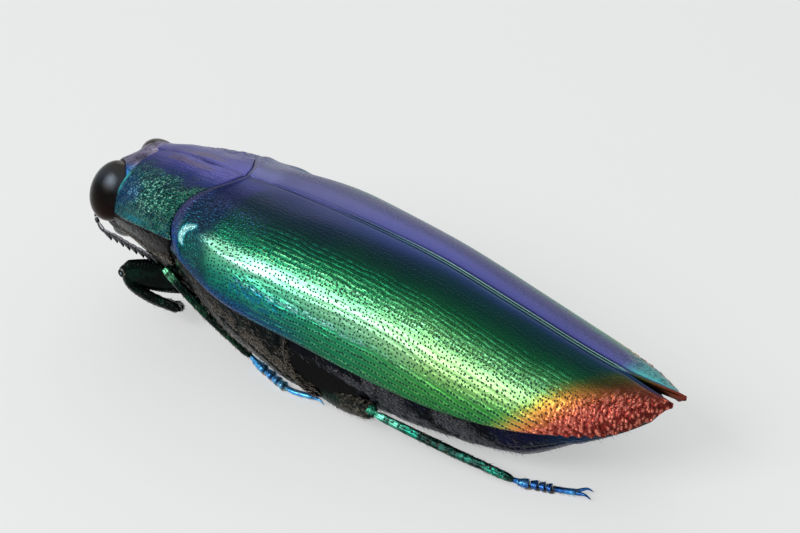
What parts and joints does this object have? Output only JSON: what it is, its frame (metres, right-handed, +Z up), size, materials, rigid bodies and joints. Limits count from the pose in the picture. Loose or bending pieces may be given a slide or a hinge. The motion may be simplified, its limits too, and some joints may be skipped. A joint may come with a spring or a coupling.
{
  "type": "jewel beetle",
  "caption": "Life-size metallic jewel beetle standing still on its middle and hind feet, fore legs folded, wing cases closed.",
  "frame": {"origin": "the middle of the ground under the beetle: centre of the bounding box at the level the feet stand on", "axes": "+X towards the tips of the wing cases, head towards -X, +Y towards the beetle's right side, +Z up"},
  "size_m": [0.0408, 0.0124, 0.0111],
  "materials": {
    "wing_case": "metallic green cuticle, violet along the middle, coppery red at the outer rear edge, rows of punctures",
    "pronotum": "metallic violet-blue to green, coarsely punctured",
    "head": "metallic blue, punctured",
    "eye": "dark brown, smooth and finely faceted",
    "downy": "dark bronze cuticle under short pale down",
    "belly": "dark blue, with pale down at the sides",
    "leg_dark": "glossy green-black",
    "leg_green": "metallic green, rough, with short bristles",
    "foot": "metallic blue",
    "antenna": "black, serrate"
  },
  "bodies": {
    "root": {"elytron_left": "wing_case", "elytron_right": "wing_case", "fore_left_femur": "leg_dark", "fore_left_tibia": "leg_green", "fore_left_foot": "foot", "fore_right_femur": "leg_dark", "fore_right_tibia": "leg_green", "fore_right_foot": "foot", "mid_left_femur": "leg_dark", "mid_left_tibia": "leg_green", "mid_left_foot": "foot", "mid_right_femur": "leg_dark", "mid_right_tibia": "leg_green", "mid_right_foot": "foot", "hind_left_femur": "leg_dark", "hind_left_tibia": "leg_green", "hind_left_foot": "foot", "hind_right_femur": "leg_dark", "hind_right_tibia": "leg_green", "hind_right_foot": "foot", "eye_left": "eye", "eye_right": "eye", "head": "head", "mouthparts": "head", "antenna_left": "antenna", "antenna_right": "antenna", "pronotum": "pronotum", "prosternum": "downy", "thorax": "downy", "abdomen": "belly"}
  },
  "joints": []
}
